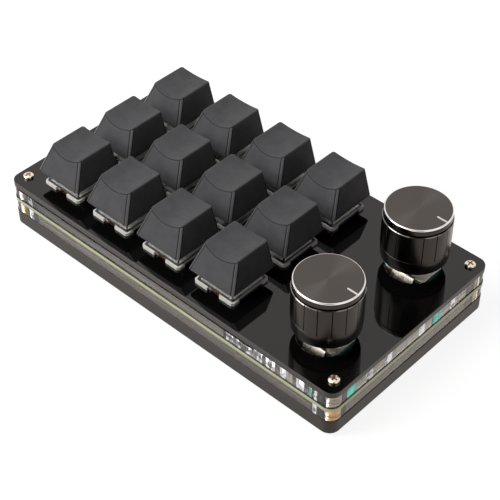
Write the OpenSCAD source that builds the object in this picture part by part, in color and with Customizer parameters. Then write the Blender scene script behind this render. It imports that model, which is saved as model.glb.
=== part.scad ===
// Macro keypad with twelve cross-stem switches and two push-and-turn knobs, built as a stack of plates.
// +Z is up and -Y faces the user. The origin is the middle of the footprint, on the desk.

/* [Case plates] */
// Length of the plates along X
case_length = 134; // [122:0.5:160]
// Width of the plates along Y
case_width = 71.4; // [66:0.2:90]
// Radius of the plates' upright corners
corner_radius = 3.5; // [1:0.5:5]
// Thickness of the glossy top plate
top_thickness = 2; // [1.4:0.1:3]
// Height of the clear frame between the top plate and the board
upper_frame_height = 4; // [3.6:0.1:6]
// Thickness of the circuit board
board_thickness = 1.6; // [1:0.1:2.4]
// Height of the clear frame between the board and the bottom plate
lower_frame_height = 4; // [3:0.1:8]
// Thickness of the bottom plate
bottom_thickness = 5; // [3:0.1:8]
// How far the clear frames stand back from the plates' edges
frame_inset = 0.2; // [0:0.05:0.6]
// Least width of the clear frames' rails
frame_rail = 5; // [3:0.2:6]

/* [Key block] */
// Distance from one key column to the next, as a share of the case's length
column_share = 0.1634; // [0.158:0.0002:0.168]
// Distance from one key row to the next, as a share of the case's width
row_share = 0.3067; // [0.29:0.0001:0.315]
// Columns of keys along X
key_columns = 4; // [4]
// Rows of keys along Y
key_rows = 3; // [3]
// Distance from the case's middle back along -X to the key block's middle, as a share of its length
block_share = 0.1239; // [0.115:0.0001:0.135]
// Distance from the case's middle to the key block's middle along +Y
block_rise = 0.35; // [0:0.05:0.5]

/* [Keycap] */
// Width of the cap at its skirt, both ways
cap_base = 17.9; // [17:0.1:18.4]
// Width of the cap's top along X
cap_top_width = 12.9; // [11.5:0.1:14]
// Distance from the key's middle to the top's front edge
cap_top_front = 4.3; // [3.8:0.1:6]
// Distance from the key's middle to the top's back edge
cap_top_back = 8.6; // [6:0.1:8.7]
// Height of the cap from its skirt to the rim of its top
cap_height = 8.9; // [8.4:0.1:11]
// Thickness of the cap's walls
cap_wall = 1.2; // [0.9:0.05:1.3]
// Depth of the top's dish at its front edge
dish_front = 1.7; // [0.4:0.1:2]
// Depth of the top's dish at its back edge
dish_back = 0.5; // [0.2:0.1:1]
// Radius of the cap's upright corners at the skirt
cap_corner = 1.1; // [0.6:0.1:2]
// Radius of the corners of the cap's top
cap_top_corner = 0.9; // [0.5:0.1:2.5]
// Rounding of the rim and of the skirt's lower edge
cap_edge = 0.35; // [0.1:0.05:0.5]
// Gap from the top plate to the skirt at rest
cap_lift = 5.3; // [5.2:0.1:6]

/* [Switch] */
// Width of the switch body below the top plate, both ways
switch_body = 13.9; // [13.5:0.05:14]
// Clearance round the switch body in the plate's square hole
switch_clearance = 0.05; // [0.02:0.01:0.2]
// Width of the flange that rests on the top plate
flange_width = 15.6; // [15:0.1:16]
// Thickness of the flange
flange_thickness = 1; // [0.6:0.1:1.1]
// Cut across the flange's corners
flange_chamfer = 0.7; // [0.3:0.1:1]
// Width of the gap between the flange's tabs on the front and the back
clip_gap = 4.9; // [4:0.1:6]
// Width of the gap between the flange's tabs on the sides
side_gap = 10; // [6:0.1:11]
// Height of the clear upper housing over the top plate
housing_height = 6.6; // [6.2:0.1:6.8]
// Width of the upper housing where it meets the flange, both ways
housing_base = 14.2; // [13.8:0.1:14.4]
// Width of the upper housing's top along X
housing_top_width = 10.4; // [9.8:0.1:10.8]
// Width of the upper housing's top along Y
housing_top_depth = 8; // [7.6:0.1:8.2]
// Thickness of the housings' walls
housing_wall = 0.9; // [0.7:0.05:1]
// Width of the stem's guide block along X
stem_width = 7.2; // [6.6:0.1:7.4]
// Width of the stem's guide block along Y
stem_depth = 5.4; // [5:0.1:5.5]
// Clearance round the guide block in the housing's mouth
mouth_clearance = 0.25; // [0.1:0.05:0.3]
// Height of the stem's guide block
stem_block_height = 5.2; // [4.6:0.1:5.4]
// Length of the stem's cross arms
cross_length = 4; // [3.8:0.05:4.1]
// Thickness of the stem's cross arms
cross_thickness = 1.2; // [1:0.05:1.35]
// Height of the cross over the guide block
cross_height = 3.6; // [3.2:0.1:3.8]
// Outer radius of the cap's socket round the cross
socket_radius = 2.7; // [2.6:0.05:2.8]
// Clearance of the cross in its socket
socket_clearance = 0.05; // [0.02:0.01:0.1]
// Radius of the stem's guide pin
guide_pin_radius = 1; // [0.8:0.05:1.2]
// Running clearance round the guide pin
guide_clearance = 0.06; // [0.02:0.01:0.1]
// How far a key can be pressed
key_travel = 4; // [3:0.1:4]
// Radius of the switch's middle post
post_radius = 1.95; // [1.8:0.05:2.2]
// Width of the copper contact
contact_width = 3.4; // [2:0.1:4]
// Thickness of the copper contact
contact_thickness = 0.3; // [0.2:0.05:0.4]
// Height of the copper contact over the top plate
contact_rise = 0.7; // [0.2:0.1:0.9]
// Distance from the switch body's front face to the middle of the contact
contact_inset = 0.55; // [0.45:0.05:0.7]
// Width of the contact's soldered leg
contact_leg = 1; // [0.6:0.1:1.4]

/* [Knobs] */
// Distance from the case's middle to the knobs' axes, as a share of its length
knob_place_share = 0.3761; // [0.365:0.0001:0.38]
// Distance between the two knobs' axes, as a share of the case's width
knob_pitch_share = 0.5518; // [0.51:0.0001:0.57]
// Radius of the knob's fluted body
knob_radius = 10.3; // [10.1:0.1:11.5]
// Radius at the knob's lower edge
knob_foot_radius = 10.1; // [9.5:0.1:10.3]
// Radius of the collar round the knob's top
collar_radius = 10; // [9.6:0.1:10.5]
// Height of the collar
collar_height = 2.1; // [1:0.1:2.5]
// Radius of the neck between the collar and the body
neck_radius = 9.4; // [9.1:0.1:9.5]
// Height of the neck
neck_height = 0.4; // [0.2:0.05:0.6]
// Width and height of the bright bevel round the knob's top
bevel = 0.5; // [0.3:0.05:0.8]
// Height of the whole knob
knob_height = 17; // [16:0.1:20]
// Gap from the top plate to the knob at rest
knob_lift = 4.9; // [3:0.1:5]
// Height of the plain band at the knob's foot
foot_band = 4.5; // [3:0.1:6]
// Number of grooves round the knob
groove_count = 16; // [9:1:24]
// Width of a groove
groove_width = 0.4; // [0.3:0.05:1]
// Radius of the knob's hollow
knob_bore = 8.6; // [8:0.1:8.8]
// Thickness of the knob's top
knob_roof = 3; // [2:0.1:4]
// Height of the open space under the knob's hub
hub_recess = 3.6; // [3:0.1:4.5]
// How far a knob can be pressed
knob_travel = 0.5; // [0.3:0.1:1]

/* [Encoders] */
// Radius of the round holes in the top plate
knob_hole_radius = 8.5; // [7.8:0.1:9]
// Length of the encoder's moulded base along X
encoder_length = 14.8; // [13:0.1:15.4]
// Depth of the moulded base's top under the top plate's face
encoder_sink = 0.2; // [0.1:0.1:1]
// Length of the metal cover along X
cover_length = 14.6; // [12:0.1:15]
// Width over the metal cover's folded legs along Y
cover_width = 10.6; // [9.6:0.1:12]
// Thickness of the metal cover
cover_thickness = 0.4; // [0.3:0.05:0.5]
// Width of the legs that fold down over the base
leg_width = 8.6; // [6:0.1:9.6]
// Radius of the bushing round the shaft
bushing_radius = 3.5; // [3.3:0.1:4]
// Height of the bushing over the cover
bushing_height = 5; // [3:0.1:5.5]
// Radius of the shaft
shaft_radius = 3; // [2.5:0.05:3.1]
// Running clearance round the shaft
shaft_clearance = 0.05; // [0.02:0.01:0.1]
// Depth of the flat on the shaft
shaft_flat = 1.5; // [1:0.1:2]
// Length of the shaft over the bushing
shaft_reach = 9.4; // [7:0.1:10]
// Depth of the shaft's foot under the cover
shaft_sink = 2.2; // [1:0.1:3]
// Height of the push button under the shaft
plunger_height = 1.5; // [1:0.1:2]
// Radius of the push button under the shaft
plunger_radius = 2.4; // [2:0.1:2.8]

/* [Fasteners and feet] */
// Distance from the case's ends to the screws
screw_inset_x = 3.8; // [3.5:0.1:5]
// Distance from the case's long sides to the screws
screw_inset_y = 4.8; // [4:0.1:5.5]
// Radius of the screws' shanks
screw_radius = 1; // [0.8:0.05:1.2]
// Radius of the screws' heads
head_radius = 1.65; // [1.5:0.05:2.2]
// Height of the screws' heads
head_height = 1.2; // [1:0.05:1.5]
// Length of the screws' shanks
screw_length = 5.5; // [4:0.1:6]
// Radius of the brass standoffs
standoff_radius = 1.9; // [1.6:0.05:2.2]
// Clearance of screws and standoffs in their holes
hole_clearance = 0.1; // [0.05:0.01:0.2]
// Width of the clear posts round the standoffs
post_width = 7.4; // [6.5:0.1:9]
// Radius of the rubber feet
foot_radius = 4; // [3:0.1:5]
// Height of the rubber feet
foot_height = 1.2; // [0.8:0.1:3]
// Distance from the case's edges to the feet's middles
foot_inset = 10.5; // [9:0.1:16]

/* [Cable socket] */
// Distance from the case's middle to the socket along X, as a share of its length
socket_share = 0.2463; // [0.24:0.0001:0.25]
// Width of the socket's shell
shell_width = 8.94; // [8:0.02:9.2]
// Height of the socket's shell
shell_height = 3.26; // [3:0.02:3.4]
// Length of the socket's shell
shell_length = 7.35; // [5:0.05:8]
// Thickness of the socket's shell
shell_wall = 0.3; // [0.2:0.05:0.4]
// Thickness of the tongue in the socket
tongue_thickness = 0.7; // [0.5:0.05:0.9]

/* [Hidden] */
KEYS = [1:12];
KNOBS = ["front", "back"];

// Overrun of every cut past the face that it opens
over = 0.02;
// Facets of the round pieces
fine = 64;
small = 24;

// The layout, spread with the case
column_pitch = case_length * column_share;
row_pitch = case_width * row_share;
block_shift = case_length * block_share;
knob_place = case_length * knob_place_share;
knob_pitch = case_width * knob_pitch_share;
socket_place = case_length * socket_share;

// Levels from the desk up
bottom_z = foot_height;
lower_z = bottom_z + bottom_thickness;
board_z = lower_z + lower_frame_height;
upper_z = board_z + board_thickness;
plate_z = upper_z + upper_frame_height;
deck_z = plate_z + top_thickness;

// The switch's levels
base_drop = deck_z - upper_z;
block_top = housing_height - cap_edge / 3;
block_bottom = block_top - stem_block_height;
stem_room = key_travel + 2 * guide_clearance;
pin_bottom = block_bottom - stem_block_height + cap_edge;
guide_top = block_bottom - stem_room;
post_bottom = pin_bottom - stem_room - housing_wall;
cavity_floor = housing_wall - base_drop;
cavity_width = switch_body - 5 * housing_wall;
mouth_width = stem_width + 2 * mouth_clearance;
mouth_depth = max(stem_depth, 2 * socket_radius) + 2 * mouth_clearance;
contact_y = switch_body / 2 - contact_inset;
contact_slot = contact_thickness + 2 * switch_clearance;
leg_length = board_thickness + 2 * contact_leg;

// The knob's levels
knob_z = deck_z + knob_lift;
knob_top_z = knob_z + knob_height;
body_top_z = knob_top_z - collar_height - neck_height;
cover_low = -encoder_sink;
cover_top = cover_low + cover_thickness;
encoder_round = knob_hole_radius - hole_clearance;
shaft_top = cover_top + bushing_height + shaft_reach;
knob_y = knob_pitch / 2;

function key_column(k) = (k - 1) % key_columns;
function key_row(k) = floor((k - 1) / key_columns);
function key_x(k) = (key_column(k) - (key_columns - 1) / 2) * column_pitch - block_shift;
function key_y(k) = (key_row(k) - (key_rows - 1) / 2) * row_pitch + block_rise;
function side_y(side) = (side == "front" ? -knob_y : knob_y) + block_rise;

module at_keys(level = deck_z) {
    for (k = KEYS) translate([key_x(k), key_y(k), level]) children();
}

module at_knobs() {
    for (side = KNOBS) translate([knob_place, side_y(side), 0]) children();
}

module at_screws() {
    for (sx = [-1, 1], sy = [-1, 1])
        translate([sx * (case_length / 2 - screw_inset_x), sy * (case_width / 2 - screw_inset_y), 0])
            children();
}

// A plate as a slab with four true quarter-round corners
module plate_outline(inset = 0) {
    length = case_length - 2 * inset;
    width = case_width - 2 * inset;
    radius = corner_radius - inset;
    square([length - 2 * radius, width], center = true);
    square([length, width - 2 * radius], center = true);
    for (sx = [-1, 1], sy = [-1, 1])
        translate([sx * (length / 2 - radius), sy * (width / 2 - radius)]) circle(radius, $fn = fine);
}

// Places and sizes of the windows in the clear frames
key_window_x = (key_columns - 1) * column_pitch + switch_body + 2 * frame_inset + housing_wall;
key_window_y = (key_rows - 1) * row_pitch + switch_body + 2 * frame_inset + housing_wall;
window_left = -block_shift - key_window_x / 2;
window_right = case_length / 2 - frame_inset - frame_rail;
window_y = case_width - 2 * (frame_inset + frame_rail);

module upper_windows() {
    translate([-block_shift, block_rise]) square([key_window_x, key_window_y], center = true);
    knob_window_x = 2 * (window_right - knob_place);
    difference() {
        translate([knob_place, 0]) square([knob_window_x, window_y], center = true);
        at_screws() square(post_width, center = true);
    }
    at_knobs() circle(knob_hole_radius, $fn = fine);
    translate([socket_place, case_width / 2])
        square([shell_width + 2 * hole_clearance, 2 * (frame_inset + shell_length + hole_clearance)],
            center = true);
}

module lower_windows() {
    difference() {
        translate([(window_left + window_right) / 2, 0])
            square([window_right - window_left, window_y], center = true);
        at_screws() square(post_width, center = true);
    }
}

module frame_holes() {
    at_screws() circle(standoff_radius + hole_clearance, $fn = small);
}

module bottom_plate() {
    color([0.10, 0.095, 0.09])
        difference() {
            translate([0, 0, bottom_z]) linear_extrude(bottom_thickness) plate_outline();
            at_screws() {
                translate([0, 0, bottom_z - over])
                    cylinder(h = bottom_thickness + 2 * over, r = screw_radius + hole_clearance, $fn = small);
                translate([0, 0, bottom_z - over])
                    cylinder(h = head_height + 2 * hole_clearance + over, r = head_radius + 2 * hole_clearance,
                        $fn = small);
            }
        }
}

module lower_frame() {
    color([0.55, 0.52, 0.52, 0.6])
        translate([0, 0, lower_z]) linear_extrude(lower_frame_height)
            difference() {
                plate_outline(frame_inset);
                lower_windows();
                frame_holes();
            }
}

module circuit_board() {
    color([0.09, 0.10, 0.08])
        difference() {
            translate([0, 0, board_z]) linear_extrude(board_thickness)
                difference() {
                    plate_outline();
                    frame_holes();
                }
            at_keys() {
                translate([0, 0, -base_drop - board_thickness - over])
                    cylinder(h = board_thickness + 2 * over, r = post_radius + hole_clearance, $fn = small);
                translate([0, -contact_y, -base_drop - board_thickness - over])
                    cylinder(h = board_thickness + 2 * over, r = contact_leg * 0.75, $fn = small);
            }
        }
}

module upper_frame() {
    color([0.62, 0.60, 0.60, 0.6])
        translate([0, 0, upper_z]) linear_extrude(upper_frame_height)
            difference() {
                plate_outline(frame_inset);
                upper_windows();
                frame_holes();
            }
}

module top_plate() {
    hole = switch_body + 2 * switch_clearance;
    color([0.05, 0.05, 0.05])
        difference() {
            translate([0, 0, plate_z]) linear_extrude(top_thickness)
                difference() {
                    plate_outline();
                    at_keys(0) square(hole, center = true);
                    at_knobs() circle(knob_hole_radius, $fn = fine);
                }
            at_screws()
                translate([0, 0, plate_z - over])
                    cylinder(h = top_thickness + 2 * over, r = screw_radius + hole_clearance, $fn = small);
        }
}

// One pan-head screw with a cross recess, head up, its head resting at z = 0
dome_steps = 4;

module pan_screw() {
    dome = head_height * 0.6;
    slot = head_radius / 3;
    difference() {
        union() {
            rotate_extrude($fn = small)
                polygon(concat(
                    [[0, 0], [head_radius, 0]],
                    [for (i = [0:dome_steps])
                        let (a = i * 75 / dome_steps)
                            [head_radius * cos(a), head_height - dome + dome * sin(a) / sin(75)]],
                    [[0, head_height]]
                ));
            translate([0, 0, -screw_length]) cylinder(h = screw_length + over, r = screw_radius, $fn = small);
        }
        for (turn = [0, 90])
            rotate([0, 0, turn])
                translate([0, 0, head_height]) cube([2 * (head_radius - slot), slot, head_height], center = true);
    }
}

module case_screws() {
    color([0.80, 0.77, 0.72])
        at_screws() {
            translate([0, 0, deck_z]) pan_screw();
            translate([0, 0, bottom_z + head_height + 2 * hole_clearance]) mirror([0, 0, 1]) pan_screw();
        }
}

module case_standoffs() {
    height = plate_z - lower_z;
    color([0.80, 0.62, 0.30])
        at_screws()
            translate([0, 0, lower_z])
                difference() {
                    cylinder(h = height, r = standoff_radius, $fn = small);
                    translate([0, 0, -over])
                        cylinder(h = height + 2 * over, r = screw_radius + hole_clearance / 2, $fn = small);
                }
}

module rubber_feet() {
    color([0.06, 0.06, 0.06])
        for (sx = [-1, 1], sy = [-1, 1])
            translate([sx * (case_length / 2 - foot_inset), sy * (case_width / 2 - foot_inset), 0])
                rotate_extrude($fn = small)
                    polygon([
                        [0, 0], [foot_radius - foot_height / 3, 0], [foot_radius, foot_height / 3],
                        [foot_radius, foot_height], [0, foot_height]
                    ]);
}

module stadium(width, height) {
    square([width - height, height], center = true);
    for (sx = [-1, 1]) translate([sx * (width - height) / 2, 0]) circle(height / 2, $fn = small);
}

module cable_socket() {
    mid_z = upper_z + shell_height / 2;
    tongue_width = shell_width - shell_height;
    tongue_start = shell_wall + tongue_thickness;
    translate([socket_place, case_width / 2 - frame_inset, mid_z]) rotate([90, 0, 0]) {
        color([0.78, 0.78, 0.76])
            difference() {
                linear_extrude(shell_length) stadium(shell_width, shell_height);
                translate([0, 0, -over])
                    linear_extrude(shell_length - shell_wall)
                        stadium(shell_width - 2 * shell_wall, shell_height - 2 * shell_wall);
            }
        color([0.08, 0.08, 0.08])
            translate([-tongue_width / 2, -tongue_thickness / 2, tongue_start])
                cube([tongue_width, tongue_thickness, shell_length - shell_wall / 2 - tongue_start]);
    }
}

// Chips under the board: the controller, its crystal and memory, and one diode for each key
chip_width = 7;
chip_height = 1.2;
crystal_size = [3.2, 2.5, 0.8];
memory_size = [5.2, 4, 1.6];
diode_size = [2.8, 1.7, 1.1];

module under_board(place, size) {
    translate([place[0] - size[0] / 2, place[1] - size[1] / 2, board_z - size[2]]) cube(size);
}

module board_chips() {
    gap_x = (key_x(key_columns) + knob_place) / 2;
    color([0.06, 0.06, 0.07]) {
        under_board([gap_x, 0], [chip_width, chip_width, chip_height]);
        under_board([gap_x, chip_width + crystal_size[1]], crystal_size);
        under_board([gap_x, -chip_width - memory_size[1]], memory_size);
        for (k = KEYS) under_board([key_x(k), key_y(k) + switch_body / 3], diode_size);
    }
}

// The milky lower housing: a flange with four corner tabs, a body with a cavity, and a middle post
module switch_base() {
    notch = flange_width - switch_body;
    half = flange_width / 2;
    cut = half - flange_chamfer;
    slot_width = contact_width + 2 * switch_clearance;
    difference() {
        union() {
            difference() {
                linear_extrude(flange_thickness)
                    polygon([
                        [-half, -cut], [-cut, -half], [cut, -half], [half, -cut],
                        [half, cut], [cut, half], [-cut, half], [-half, cut]
                    ]);
                for (turn = [0, 180])
                    rotate([0, 0, turn]) {
                        translate([-clip_gap / 2, switch_body / 2, -over])
                            cube([clip_gap, notch, flange_thickness + 2 * over]);
                        translate([switch_body / 2, -side_gap / 2, -over])
                            cube([notch, side_gap, flange_thickness + 2 * over]);
                    }
            }
            translate([-switch_body / 2, -switch_body / 2, -base_drop])
                cube([switch_body, switch_body, base_drop + flange_thickness]);
        }
        translate([-cavity_width / 2, -cavity_width / 2, cavity_floor])
            cube([cavity_width, cavity_width, base_drop + flange_thickness]);
        translate([-slot_width / 2, -contact_y - contact_slot / 2, -base_drop / 2])
            cube([slot_width, contact_slot, base_drop]);
        translate([-slot_width / 2, -switch_body / 2 - over, -flange_thickness])
            cube([slot_width, contact_inset, base_drop]);
        translate([-contact_leg / 2 - switch_clearance, -contact_y - contact_slot / 2, -base_drop - over])
            cube([contact_leg + 2 * switch_clearance, contact_slot, base_drop]);
    }
}

module switch_post() {
    guide = guide_pin_radius + guide_clearance;
    difference() {
        translate([0, 0, post_bottom]) cylinder(h = guide_top - post_bottom, r = post_radius, $fn = small);
        translate([0, 0, post_bottom + housing_wall])
            cylinder(h = guide_top - post_bottom, r = guide, $fn = small);
    }
}

module switch_bases() {
    guide = guide_pin_radius + guide_clearance;
    color([0.86, 0.85, 0.80])
        at_keys() {
            difference() {
                switch_base();
                translate([0, 0, -base_drop - over])
                    cylinder(h = base_drop, r = guide, $fn = small);
            }
            switch_post();
        }
}

// A square pyramid cut off flat, standing on z = low
module frustum(base_x, base_y, top_x, top_y, low, high) {
    polyhedron(
        points = [
            for (level = [[base_x, base_y, low], [top_x, top_y, high]])
                for (turn = [[-1, -1], [1, -1], [1, 1], [-1, 1]])
                    [turn[0] * level[0] / 2, turn[1] * level[1] / 2, level[2]]
        ],
        faces = [
            [0, 1, 2, 3], [7, 6, 5, 4],
            for (i = [0:3]) [i, i + 4, (i + 1) % 4 + 4, (i + 1) % 4]
        ]
    );
}

module switch_top() {
    low = flange_thickness;
    roof = housing_height - housing_wall;
    slope_x = (housing_base - housing_top_width) / (housing_height - low);
    slope_y = (housing_base - housing_top_depth) / (housing_height - low);
    inner = housing_base - 2 * housing_wall;
    difference() {
        frustum(housing_base, housing_base, housing_top_width, housing_top_depth, low, housing_height);
        frustum(inner + slope_x * over, inner + slope_y * over,
            inner - slope_x * (roof - low), inner - slope_y * (roof - low), low - over, roof);
        translate([-mouth_width / 2, -mouth_depth / 2, low])
            cube([mouth_width, mouth_depth, housing_height]);
    }
}

module switch_tops() {
    color([0.85, 0.88, 0.90, 0.35]) at_keys() switch_top();
}

module switch_contacts() {
    color([0.85, 0.55, 0.40])
        at_keys() {
            translate([-contact_width / 2, -contact_y - contact_thickness / 2, switch_clearance - base_drop / 2])
                cube([contact_width, contact_thickness, base_drop / 2 - switch_clearance + contact_rise]);
            translate([-contact_leg / 2, -contact_y - contact_thickness / 2, -base_drop - leg_length])
                cube([contact_leg, contact_thickness, base_drop + leg_length]);
        }
}

module stem(k) {
    color([0.45, 0.13, 0.10])
        translate([key_x(k), key_y(k), deck_z]) {
            translate([-stem_width / 2, -stem_depth / 2, block_bottom])
                cube([stem_width, stem_depth, stem_block_height]);
            for (turn = [0, 90])
                rotate([0, 0, turn])
                    translate([-cross_length / 2, -cross_thickness / 2, block_top - over])
                        cube([cross_length, cross_thickness, cross_height + over]);
            translate([0, 0, pin_bottom])
                cylinder(h = block_bottom - pin_bottom + over, r = guide_pin_radius, $fn = small);
        }
}

// Points of one level of the cap: four rounded corners, with the front and back edges divided alike
corner_steps = 3;
edge_steps = 8;

function corner_arc(x, y, r, from) =
    [for (i = [0:corner_steps])
        let (a = from + i * 90 / corner_steps)
            [x + r * cos(a), y + r * sin(a)]];

function edge_run(x0, x1, y, steps) =
    [for (i = [1:1:steps - 1]) [x0 + (x1 - x0) * i / steps, y]];

function level_outline(half, front, back, r, steps) = concat(
    corner_arc(-half + r, -front + r, r, 180),
    edge_run(-half + r, half - r, -front, steps),
    corner_arc(half - r, -front + r, r, 270),
    corner_arc(half - r, back - r, r, 0),
    edge_run(half - r, -half + r, back, steps),
    corner_arc(-half + r, back - r, r, 90)
);

function mix(a, b, t) = a + (b - a) * t;

// How deep the dish is at a point of the cap's outline, and how far its edge follows the sloping face
function dish_share(p, front, back) = (p[1] + front) / (front + back);
function dish_at(p, half, share, dish) = mix(dish[0], dish[1], share) * (1 - pow(p[0] / half, 2));
front_slope = (cap_base / 2 - cap_top_front) / cap_height;
back_slope = (cap_base / 2 - cap_top_back) / cap_height;

// A lofted cap form from [height share, inset share] levels, with a dish that deepens towards the top
module cap_loft(levels, wall, low, high, dish, edge, steps) {
    count = 4 * (corner_steps + 1) + 2 * (steps - 1);
    half_count = count / 2;
    last = len(levels) - 1;
    points = [
        for (level = levels)
            let (
                t = level[0],
                inset = wall + level[1] * edge,
                half = mix(cap_base, cap_top_width, t) / 2 - inset,
                front = mix(cap_base / 2, cap_top_front, t) - inset,
                back = mix(cap_base / 2, cap_top_back, t) - inset,
                r = max(mix(cap_corner, cap_top_corner, t) - inset, cap_edge)
            )
            for (p = level_outline(half, front, back, r, steps))
                let (share = dish_share(p, front, back), depth = t * dish_at(p, half, share, dish))
                    [p[0], p[1] - depth * mix(front_slope, -back_slope, share), mix(low, high, t) - depth]
    ];
    top = last * count;
    polyhedron(
        points = points,
        faces = concat(
            [for (i = [0:half_count - 2]) [i, i + 1, count - 2 - i, count - 1 - i]],
            [for (i = [0:half_count - 2]) [top + count - 1 - i, top + count - 2 - i, top + i + 1]],
            [for (i = [0:half_count - 2]) [top + count - 1 - i, top + i + 1, top + i]],
            [for (n = [0:last - 1]) for (i = [0:count - 1])
                let (a = n * count + i, b = n * count + (i + 1) % count)
                    [a, a + count, b + count, b]]
        )
    );
}

// Levels as [share of the height, share of the edge rounding taken off]
outer_level_shares = [[0, 0.5], [0.03, 0], [0.5, 0], [0.96, 0], [0.985, 0.3], [1, 1]];
inner_level_shares = [[0, 0], [1, 0]];

module keycap(k) {
    rim = cap_lift + cap_height;
    ceiling = rim - max(dish_front, dish_back) - cap_wall;
    ceiling_share = (ceiling - cap_lift) / cap_height;
    arm = cross_length + 2 * socket_clearance;
    slit = cross_thickness + 2 * socket_clearance;
    color([0.11, 0.11, 0.115])
        translate([key_x(k), key_y(k), deck_z]) {
            difference() {
                cap_loft(outer_level_shares, 0, cap_lift, rim, [dish_front, dish_back], cap_edge, edge_steps);
                cap_loft([for (s = inner_level_shares) [mix(-over, ceiling_share, s[0]), s[1]]],
                    cap_wall, cap_lift, rim, [0, 0], cap_edge, 1);
            }
            difference() {
                translate([0, 0, block_top])
                    cylinder(h = ceiling - block_top + cap_edge, r = socket_radius, $fn = small);
                for (turn = [0, 90])
                    rotate([0, 0, turn])
                        translate([-arm / 2, -slit / 2, block_top - over])
                            cube([arm, slit, cross_height + socket_clearance + over]);
            }
        }
}

// The turned aluminium knob, fluted round its body
module knob(side) {
    chamfer = bevel / 2;
    z_neck = body_top_z + neck_height;
    color([0.12, 0.115, 0.11])
        translate([knob_place, side_y(side), 0])
            difference() {
                rotate([0, 0, 180 / groove_count])
                    rotate_extrude($fn = fine)
                        polygon([
                            [knob_bore, knob_z], [knob_foot_radius, knob_z],
                            [knob_radius, knob_z + foot_band - groove_width], [knob_radius, body_top_z - chamfer],
                            [knob_radius - chamfer, body_top_z], [neck_radius, body_top_z],
                            [neck_radius, z_neck], [collar_radius, z_neck],
                            [collar_radius, knob_top_z - bevel], [collar_radius - bevel, knob_top_z],
                            [0, knob_top_z], [0, knob_top_z - knob_roof], [knob_bore, knob_top_z - knob_roof]
                        ]);
                for (i = [0:groove_count - 1])
                    rotate([0, 0, i * 360 / groove_count])
                        translate([knob_radius, 0, knob_z + foot_band])
                            rotate([0, 0, 45])
                                translate([-groove_width / 2, -groove_width / 2, 0])
                                    cube([groove_width, groove_width, body_top_z - knob_z - foot_band + over]);
            }
}

module shaft_section(radius) {
    difference() {
        circle(radius, $fn = fine);
        translate([-radius, radius - shaft_flat]) square(2 * radius);
    }
}

module hub(side) {
    low = knob_z + hub_recess;
    high = knob_top_z - knob_roof;
    color([0.09, 0.09, 0.09])
        translate([knob_place, side_y(side), low])
            difference() {
                cylinder(h = high - low, r = knob_bore - shaft_clearance, $fn = fine);
                translate([0, 0, -over])
                    linear_extrude(deck_z + shaft_top + shaft_clearance - low + over)
                        difference() {
                            circle(shaft_radius + shaft_clearance, $fn = fine);
                            translate([-shaft_radius, shaft_radius - shaft_flat + shaft_clearance])
                                square(2 * shaft_radius);
                        }
            }
}

module shaft(side) {
    flat_low = cover_top + bushing_height;
    color([0.78, 0.77, 0.74])
        translate([knob_place, side_y(side), deck_z]) {
            translate([0, 0, cover_top - shaft_sink])
                cylinder(h = flat_low - cover_top + shaft_sink + shaft_clearance, r = shaft_radius, $fn = fine);
            translate([0, 0, flat_low]) linear_extrude(shaft_reach) shaft_section(shaft_radius);
        }
}

module plunger(side) {
    color([0.85, 0.83, 0.78])
        translate([knob_place, side_y(side), deck_z + cover_top - shaft_sink - plunger_height])
            cylinder(h = plunger_height, r = plunger_radius, $fn = small);
}

// The metal cover: a top plate trimmed to pass the round hole, two folded legs and the bushing
module encoder_cover(side) {
    leg_height = base_drop + cover_top;
    width = cover_width - 2 * cover_thickness;
    color([0.80, 0.79, 0.76])
        translate([knob_place, side_y(side), deck_z])
            difference() {
                union() {
                    translate([0, 0, cover_low])
                        linear_extrude(cover_thickness)
                            intersection() {
                                square([cover_length, width], center = true);
                                circle(encoder_round, $fn = fine);
                            }
                    for (turn = [0, 180])
                        rotate([0, 0, turn])
                            translate([-leg_width / 2, -cover_width / 2, cover_top - leg_height])
                                cube([leg_width, cover_thickness, leg_height]);
                    translate([0, 0, cover_low])
                        cylinder(h = cover_thickness + bushing_height, r = bushing_radius, $fn = fine);
                }
                translate([0, 0, cover_low - over])
                    cylinder(h = cover_thickness + bushing_height + 2 * over,
                        r = shaft_radius + shaft_clearance, $fn = fine);
            }
}

module encoder_base(side) {
    well = shaft_radius + 2 * shaft_clearance;
    well_depth = cover_top - shaft_sink - plunger_height - knob_travel - cover_thickness;
    width = cover_width - 2 * cover_thickness;
    color([0.06, 0.62, 0.56])
        translate([knob_place, side_y(side), deck_z])
            difference() {
                translate([0, 0, -base_drop])
                    linear_extrude(base_drop + cover_low)
                        intersection() {
                            square([encoder_length, width], center = true);
                            circle(encoder_round, $fn = fine);
                        }
                translate([0, 0, well_depth])
                    cylinder(h = cover_low - well_depth + over, r = well, $fn = small);
            }
}

bottom_plate();
lower_frame();
circuit_board();
upper_frame();
top_plate();
case_screws();
case_standoffs();
rubber_feet();
cable_socket();
board_chips();
switch_bases();
switch_tops();
switch_contacts();
for (k = KEYS) keycap(k);
for (k = KEYS) stem(k);
for (side = KNOBS) knob(side);
for (side = KNOBS) hub(side);
for (side = KNOBS) shaft(side);
for (side = KNOBS) plunger(side);
for (side = KNOBS) encoder_cover(side);
for (side = KNOBS) encoder_base(side);
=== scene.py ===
# %% [markdown]
# # Dressing a macro keypad
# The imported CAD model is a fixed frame: it says where every piece is and which piece moves with which.
# This lesson gives that frame its looks. Some CAD pieces only get a better finish. Others get a finer
# mesh in the same place, with the rounded rims and cut bevels that a plain solid leaves out.

# %% Load the frame and note its size
from math import cos, hypot, pi, radians, sin, sqrt, tan

import bmesh
import bpy
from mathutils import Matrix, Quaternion, Vector
from mathutils.geometry import tessellate_polygon


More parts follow.
